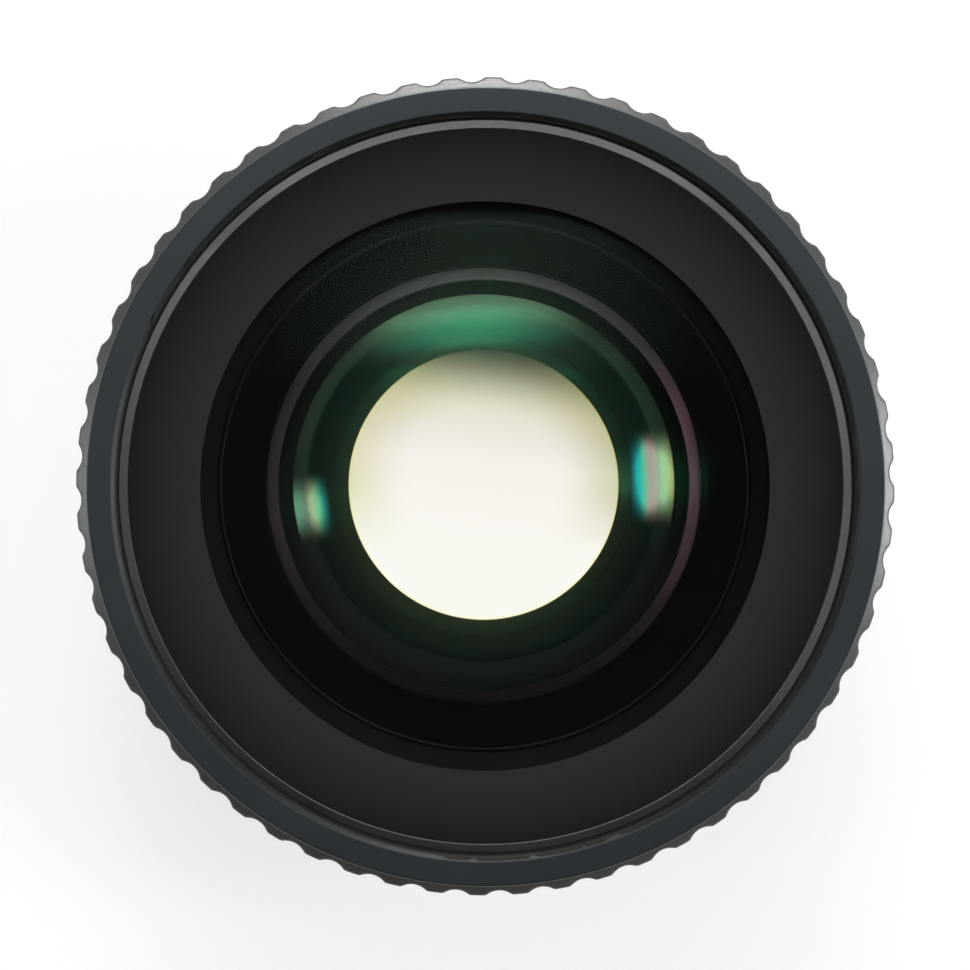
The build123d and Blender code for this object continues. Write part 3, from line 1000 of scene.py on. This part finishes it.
# %% Turn the middle retaining ring
middle_ring_r, middle_ring_low, middle_ring_top = size_of("middle_retaining_ring")
middle_ring_inner_r = 23.65
middle_ring_lip = 0.5
middle_ring_undercut = 0.8
undercut_r = middle_ring_inner_r + middle_ring_undercut
lip_low = middle_ring_top - middle_ring_lip
middle_ring = turned(
    "middle_retaining_ring_turned",
    [
        (undercut_r, middle_ring_low),
        (middle_ring_r, middle_ring_low),
        (middle_ring_r, middle_ring_top),
        (middle_ring_inner_r, middle_ring_top),
        (middle_ring_inner_r, lip_low),
        (undercut_r, lip_low - middle_ring_undercut),
    ],
    bevel=0.03,
)
paint_faces(middle_ring, lambda r, z, up: 1 if up > 0.9 and z > middle_ring_top - 0.1 else 0)
dress(middle_ring, "middle_retaining_ring", "barrel", "matt_black_paint", matt_black, land_anodised)

# %% [markdown]
# ## The spacer
# It holds the middle element at its distance from the rear pair. Through the glass its slope shows as a
# dark band.

# %% Turn the spacer
spacer_r, ledge, spacer_top = size_of("element_spacer")
spacer_throat_r = 21.4
spacer_rim = 0.85
spacer_slope = 1.3
spacer = turned(
    "element_spacer_turned",
    [
        (spacer_throat_r, ledge),
        (spacer_r, ledge),
        (spacer_r, spacer_top),
        (spacer_r - spacer_rim, spacer_top),
        (spacer_throat_r, spacer_top - spacer_slope),
    ],
)
dress(spacer, "element_spacer", "barrel", "matt_black_paint", matt_black)

# %% [markdown]
# ## The rear cell
# A tube with a flange at its top, in which all the rear glass is packed. A lip halfway down parts the
# middle element's bore from the smaller one of the rear pair.

# %% Turn the rear cell
cell_flange_r, cell_low, _ = size_of("rear_lens_cell")
cell_r = 26.15
cell_flange = 1.3
cell_bore_r = 24.95
cell_lip_r = 18.3
cell_floor = 0.9
cell_lip_low = ledge - cell_floor
doublet_bore_r = doublet_r + slide_fit
pocket_r = middle_ring_r + slide_fit
pocket_end = 0.3
pocket_low = middle_ring_low - pocket_end
cell = turned(
    "rear_lens_cell_turned",
    [
        (doublet_bore_r, cell_low),
        (cell_r, cell_low),
        (cell_r, cell_top - cell_flange),
        (cell_flange_r, cell_top - cell_flange),
        (cell_flange_r, cell_top),
        (pocket_r, cell_top),
        (pocket_r, pocket_low),
        (cell_bore_r, pocket_low),
        (cell_bore_r, ledge),
        (cell_lip_r, ledge),
        (cell_lip_r, cell_lip_low),
        (doublet_bore_r, cell_lip_low),
    ],
)
dress(cell, "rear_lens_cell", "barrel", "matt_black_paint", ledge_black)

# %% [markdown]
# ## The rear retaining ring
# It holds the rear pair in the cell, and its opening is the edge of the bright disc in the photograph. The
# edge is thin, with a flare behind it, so that hardly any of its wall shows.

# %% Turn the rear retaining ring
rear_ring_r, rear_ring_low, rear_ring_top = size_of("rear_retaining_ring")
aperture_r = 16.35
aperture_edge = rear_ring_low + 0.75
rear_ring_land = 0.25
rear_ring_flare = 0.5
flare_r = aperture_r + rear_ring_flare
rear_ring = turned(
    "rear_retaining_ring_turned",
    [
        (aperture_r, aperture_edge - rear_ring_land),
        (flare_r, rear_ring_low),
        (rear_ring_r, rear_ring_low),
        (rear_ring_r, rear_ring_top - rear_ring_land),
        (flare_r, aperture_edge),
        (aperture_r, aperture_edge),
    ],
    bevel=0.03,
)
dress(rear_ring, "rear_retaining_ring", "barrel", "matt_black_paint", opening_black)

# %% [markdown]
# ## The barrel
# The fixed body carries everything: a cup for the front glass, a tube for the rear cell, and a flange that
# the turning parts run against. Most of it is hidden, but its seat shows through the front glass.

# %% Turn the barrel
_, barrel_low, neck_top = size_of("main_barrel")
_, washer_low, _ = size_of("thrust_washer")
washer_thickness = 0.3
gasket_thickness = 0.3
shim_thickness = 0.2
slip_gap = 0.03
chamfer = 0.3
inner_wall = 1.6
seat = rim_face - gasket_thickness
barrel_web = 2.0
thrust_low = washer_low + washer_thickness + slip_gap
thrust_height = 1.3
thrust_top = thrust_low + thrust_height
thrust_r = 37.45
barrel_bore_r = 27.9
tube_r = 29.5
rear_neck_r = 27.4
rear_bore_r = 26.2
journal_r = 36.95
skirt_bore_r = 35.35
retainer_bore_r = 35.52
neck_relief_width = 0.5
neck_relief_depth = 1.2
relief_r = retainer_bore_r + neck_relief_width
relief_low = neck_top - neck_relief_depth
neck_low = bezel_low - washer_thickness
step_height = cell_top - cell_flange - shim_thickness
throat = step_height - inner_wall
barrel = turned(
    "main_barrel_turned",
    [
        (rear_bore_r, barrel_low),
        (rear_neck_r - chamfer, barrel_low),
        (rear_neck_r, barrel_low + chamfer),
        (rear_neck_r, throat - (tube_r - rear_neck_r)),
        (tube_r, throat),
        (tube_r, seat - barrel_web),
        (skirt_bore_r, seat - barrel_web),
        (skirt_bore_r, thrust_low),
        (thrust_r, thrust_low),
        (thrust_r, thrust_top),
        (journal_r, thrust_top),
        (journal_r, neck_low),
        (neck_r, neck_low),
        (neck_r, neck_top),
        (relief_r, neck_top),
        (relief_r, relief_low),
        (retainer_bore_r, relief_low),
        (retainer_bore_r, front_edge - glass_bevel),
        (skirt_bore_r, front_edge - glass_bevel),
        (skirt_bore_r, seat),
        (barrel_bore_r, seat),
        (barrel_bore_r, step_height),
        (rear_bore_r, step_height),
    ],
)
paint_faces(barrel, lambda r, z, up: 1 if rear_bore_r < r < neck_r and z > throat and up > -0.9 else 0)
dress(barrel, "main_barrel", "barrel", "black_anodised", black_anodised, matt_black)

# %% [markdown]
# ## The collar
# A hollow cone with the male thread that screws into a camera lens. It turns on the barrel's rear neck, and
# a groove behind the thread lets the flange seat flat.

# %% Turn the collar
collar_r, _, spigot_top = size_of("mount_collar")
_, band_low, ring_top = size_of("turning_ring")
collar_bore_r = 27.45
mount_depth = 0.46
thread_length = 4.0
relief_inner_r = mount_crest_r - 0.9
flange_low = 4.6
flange_r = mount_crest_r + 2.8
cone_low = 7.0
cone_high = 16.6
collar_floor = flange_low + 3.2
collar_shell = 1.9
shell_top_r = thrust_r - collar_shell
steepness = (cone_high - cone_low) / (collar_r - flange_r)
collar = turned(
    "mount_collar_turned",
    [
        (collar_bore_r, 0),
        (mount_crest_r - chamfer, 0),
        (mount_crest_r, chamfer),
        (mount_crest_r, thread_length),
        (relief_inner_r, thread_length),
        (relief_inner_r, flange_low),
        (flange_r - chamfer, flange_low),
        (flange_r, flange_low + chamfer),
        (flange_r, cone_low),
        (collar_r, cone_high),
        (collar_r, band_low),
        (thrust_r, band_low),
        (thrust_r, spigot_top),
        (shell_top_r, spigot_top),
        (shell_top_r, cone_high),
        (shell_top_r - (cone_high - collar_floor) / steepness, collar_floor),
        (collar_bore_r, collar_floor),
    ],
)
cut_thread(collar, mount_crest_r, mount_crest_r - mount_depth, 0, thread_length)
dress(collar, "mount_collar", "turning_collar", "black_anodised", black_anodised)

# %% [markdown]
# ## The turning ring
# The metal ring under the rubber. Its plain lower band is locked to the collar, and a step inside it lies
# over the barrel's flange, so that the two bodies can't come apart.

# %% Turn the ring
_, grip_low, grip_top = size_of("grip_sleeve")
ring_r = 38.35
ring_bore_r = 37.0
band_bore_r = 37.5
step_top = thrust_top + slip_gap
turning_ring = turned(
    "turning_ring_turned",
    [
        (band_bore_r, band_low),
        (collar_r, band_low),
        (collar_r, grip_low - chamfer),
        (collar_r - chamfer, grip_low),
        (ring_r, grip_low),
        (ring_r, ring_top),
        (ring_bore_r, ring_top),
        (ring_bore_r, step_top),
        (band_bore_r, step_top),
    ],
)
dress(turning_ring, "turning_ring", "turning_collar", "black_anodised", black_anodised)

# %% [markdown]
# ## The shape of the grip
# Sixty ridges with round flutes between them, and a sloping shoulder at the front. Each of these is simple
# by itself: the radius of the flute, of the crest, of the shoulder and of the foot. The rubber is the least
# of them at every place, with round corners where they cross.

# %% Work out the grip's radius
ridges = 60
half_ridge = 180 / ridges
flute_r = 1.9
flute_depth = 0.54
first_flute = 1.9
crest_r = 39.73
shoulder_drop = 1.1
shoulder_land = 0.1
shoulder_top_r = ring_r + shoulder_land
round_corner = 0.16


def soft_least(a, b):
    """The lesser of two lengths, with a round corner where they cross."""
    h = max(round_corner - abs(a - b), 0) / round_corner
    return min(a, b) - h * h * round_corner / 4


def flute_edge(angle):
    """Radius of the fluted side at an angle from the middle of a flute, in degrees."""
    centre = crest_r - flute_depth + flute_r
    across = centre * math.sin(math.radians(angle))
    if abs(across) >= flute_r:
        return crest_r + 1
    return centre * math.cos(math.radians(angle)) - math.sqrt(flute_r * flute_r - across * across)


def grip_radius(angle, height):
    side = soft_least(flute_edge(angle), crest_r)
    cone = shoulder_top_r + (grip_top - height) / shoulder_drop * (crest_r - shoulder_top_r)
    foot = crest_r - max(chamfer - (height - grip_low), 0)
    return soft_least(soft_least(side, cone), foot)


print("a flute is", round(crest_r - grip_radius(0, (grip_low + grip_top) / 2), 2), "mm deep")

# %% [markdown]
# ## Moulding the grip
# A circle is made with a fixed number of corners to each ridge and raised through a row of heights, close
# together at the foot and the shoulder. At each height the corners move out to the grip's radius there. The
# last circle closes on the ring, and the bore runs down from it to the start.

# %% Mould the grip
ridge_corners = 20
foot_heights = [grip_low + rise for rise in (0, 0.1, 0.2, 0.3, 0.5)]
shoulder_heights = [grip_top - shoulder_drop * step / 10 for step in range(13, -1, -1)]


def shape_circle(piece, radius_at):
    """Moves the selected circle out to the radius for each angle from the middle of the nearest flute."""
    mesh = bmesh.from_edit_mesh(piece.data)
    for vertex in [vertex for vertex in mesh.verts if vertex.select]:
        turn = math.degrees(math.atan2(vertex.co.y, vertex.co.x)) - first_flute
        angle = (turn + half_ridge) % (2 * half_ridge) - half_ridge
        scale = radius_at(angle) * mm / math.hypot(vertex.co.x, vertex.co.y)
        vertex.co.x *= scale
        vertex.co.y *= scale
    bmesh.update_edit_mesh(piece.data)


grip = start_circle("grip_sleeve_moulded", ring_r, grip_low, ridges * ridge_corners)
bpy.ops.transform.rotate(value=math.radians(-first_flute), orient_axis="Z", center_override=(0, 0, 0))
previous = grip_low
for height in foot_heights + shoulder_heights:
    raise_circle(height - previous)
    shape_circle(grip, lambda angle: grip_radius(angle, height))
    previous = height
raise_circle(0)
shape_circle(grip, lambda angle: ring_r)
raise_circle(grip_low - grip_top)
weld(grip)
smooth(grip, 35)
dress(grip, "grip_sleeve", "turning_collar", "black_rubber", grip_rubber)

# %% [markdown]
# ## Who gets whose light
# Light linking says which lamps a piece takes light from. A mirrored ray leaves through the front glass, so
# a lamp that lights only that glass shows in every mirror behind it and on nothing else, as the rainbow
# lamps do. The two side softboxes leave that glass out, because the rainbow lamps take their place there. On
# the lacquer, the baffle and the middle ring the softboxes would draw a bright side that the photograph
# hasn't got, so they pass these by.

# %% Link the softboxes
def collection_of(name, pieces, state):
    """A collection that lamps include or leave out."""
    made = bpy.data.collections.new(name)
    for index, piece in enumerate(pieces):
        made.objects.link(piece)
        made.collection_objects[index].light_linking.link_state = state
    return made


def shine_on(lamps, pieces):
    for lamp in lamps:
        lamp.light_linking.receiver_collection = pieces
    print(pieces.name, [lamp.name for lamp in lamps])


dark_inside = [rim_coat, baffle, middle_ring]
shine_on(softboxes, collection_of("passed_by", dark_inside, "EXCLUDE"))
shine_on(side_softboxes, collection_of("passed_by_glass", [*dark_inside, front_glass], "EXCLUDE"))
shine_on(rainbows, collection_of("only_glass", [front_glass], "INCLUDE"))

# %% [markdown]
# ## Light for the retaining ring and the lacquer
# The front retaining ring sits deep in the bezel, where the softboxes can hardly reach it. It gets three
# lights of its own, and nothing but itself shades them. The lacquer gets one large round lamp straight
# overhead, for an even light.

# %% Place the linked lights
paint_lamp_power = 21.0
ring_lamps = [
    softbox("ring_light_behind", 90, (60, 80), 40, 56.0),
    softbox("ring_light_right", 0, (60, 80), 26, 18.0),
    softbox("ring_light_left", 180, (60, 80), 30, 18.0),
]
lit_ring = collection_of("lit_ring", [retainer], "INCLUDE")
shine_on(ring_lamps, lit_ring)
for lamp in ring_lamps:
    lamp.light_linking.blocker_collection = lit_ring

bpy.ops.object.light_add(type="AREA", location=(0, 0, lamp_distance))
paint_lamp = bpy.context.object
paint_lamp.name = "paint_lamp"
paint_lamp.data.shape = "DISK"
paint_lamp.data.size = lamp_distance
paint_lamp.data.energy = paint_lamp_power
paint_lamp.visible_camera = False
paint_lamp.visible_glossy = False
paint_lamp.visible_transmission = False
shine_on([paint_lamp], collection_of("lit_paint", [rim_coat], "INCLUDE"))

# %% [markdown]
# ## Holes for the grub screws
# Three headless screws lock the band to the collar and three smaller ones the bezel to the neck. Each sits
# in a drilled hole. A pin that points at the axis is taken away from the ring, as a drill would do it.

# %% Drill the holes
screw_count = 3
band_first = 30
bezel_first = 90
hole_play = 0.03
drill_start = 0.3
drill_past = 0.5


def pin(radius, r_in, r_out, height, turn=0.0, sides=48):
    """A bar along a radius of the lens, at an angle in degrees."""
    middle, turn = (r_in + r_out) / 2 * mm, math.radians(turn)
    bpy.ops.object.select_all(action="DESELECT")
    bpy.ops.mesh.primitive_cylinder_add(
        vertices=sides, radius=radius * mm, depth=(r_out - r_in) * mm,
        location=(middle * math.cos(turn), middle * math.sin(turn), height * mm),
        rotation=(0, math.pi / 2, turn),
    )
    return bpy.context.object


def around(first):
    """The angles of the screws, spread evenly from the first."""
    return [first + 360 * step / screw_count for step in range(screw_count)]


def drill(piece, first, r_in, r_out, height, radius):
    for angle in around(first):
        cut_away(piece, pin(radius, r_in, r_out, height, angle))
    smooth_flats(piece)
    print(piece.name, len(piece.data.polygons), "faces after drilling")


_, low, high = size_of("turning_ring_grub_screws")
band_screw_r, band_screw_z = (high - low) / 2, (low + high) / 2
band_hole_r = band_screw_r + hole_play
drill(turning_ring, band_first, band_bore_r - drill_start, collar_r + drill_past, band_screw_z, band_hole_r)
_, low, high = size_of("bezel_grub_screws")
bezel_screw_r, bezel_screw_z = (high - low) / 2, (low + high) / 2
bezel_hole_r = bezel_screw_r + hole_play
drill(bezel, bezel_first, neck_r - drill_start, bezel_r + drill_past, bezel_screw_z, bezel_hole_r)

# %% [markdown]
# ## Grub screws
# One is modelled with its hexagon socket and a chamfered end, a little below the surface of the ring, and
# the rest are turned copies with meshes of their own. Each set of three is joined, as the CAD has it.

# %% Make the screws
def grub_screws(name, node, body, first, r_in, r_out, height, radius):
    screw = pin(radius, r_in, r_out, height)
    bpy.ops.object.transform_apply(location=True, rotation=True)
    half_length = (r_out - r_in) / 2
    cut_away(screw, pin(0.5 * radius, r_out - half_length, r_out + half_length, height, sides=6))
    break_edges(screw, 0.08 * radius, 40)
    copies = []
    for angle in around(first):
        copy = screw.copy()
        copy.data = screw.data.copy()
        bpy.context.scene.collection.objects.link(copy)
        alone(copy)
        copy.rotation_euler.z = math.radians(angle)
        bpy.ops.object.transform_apply(rotation=True)
        copies.append(copy)
    bpy.data.objects.remove(screw)
    alone(copies[0])
    for copy in copies:
        copy.select_set(True)
    bpy.ops.object.join()
    joined = bpy.context.object
    joined.name = name
    smooth(joined)
    dress(joined, node, body, "blackened_steel", screw_steel)


screw_sink = 0.15
band_bite = 0.85
bezel_bite = 0.4
grub_screws(
    "turning_ring_grub_screws_cut", "turning_ring_grub_screws", "turning_collar", band_first,
    thrust_r - band_bite, collar_r - screw_sink, band_screw_z, band_screw_r,
)
grub_screws(
    "bezel_grub_screws_cut", "bezel_grub_screws", "barrel", bezel_first,
    neck_r - bezel_bite, bezel_r - screw_sink, bezel_screw_z, bezel_screw_r,
)

# %% [markdown]
# ## Gasket, shim and washers
# These flat rings hardly show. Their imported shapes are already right, so they keep them and only get a
# finish.

# %% Finish the hidden rings
hidden_rings = {
    "front_gasket": seal_rubber,
    "cell_shim": shim_brass,
    "front_slip_washer": slip_polymer,
    "thrust_washer": slip_polymer,
}
for node, finish in hidden_rings.items():
    ring = frame["nodes"][node]
    ring.data.materials.clear()
    ring.data.materials.append(finish)
print("finished as packed:", list(hidden_rings))
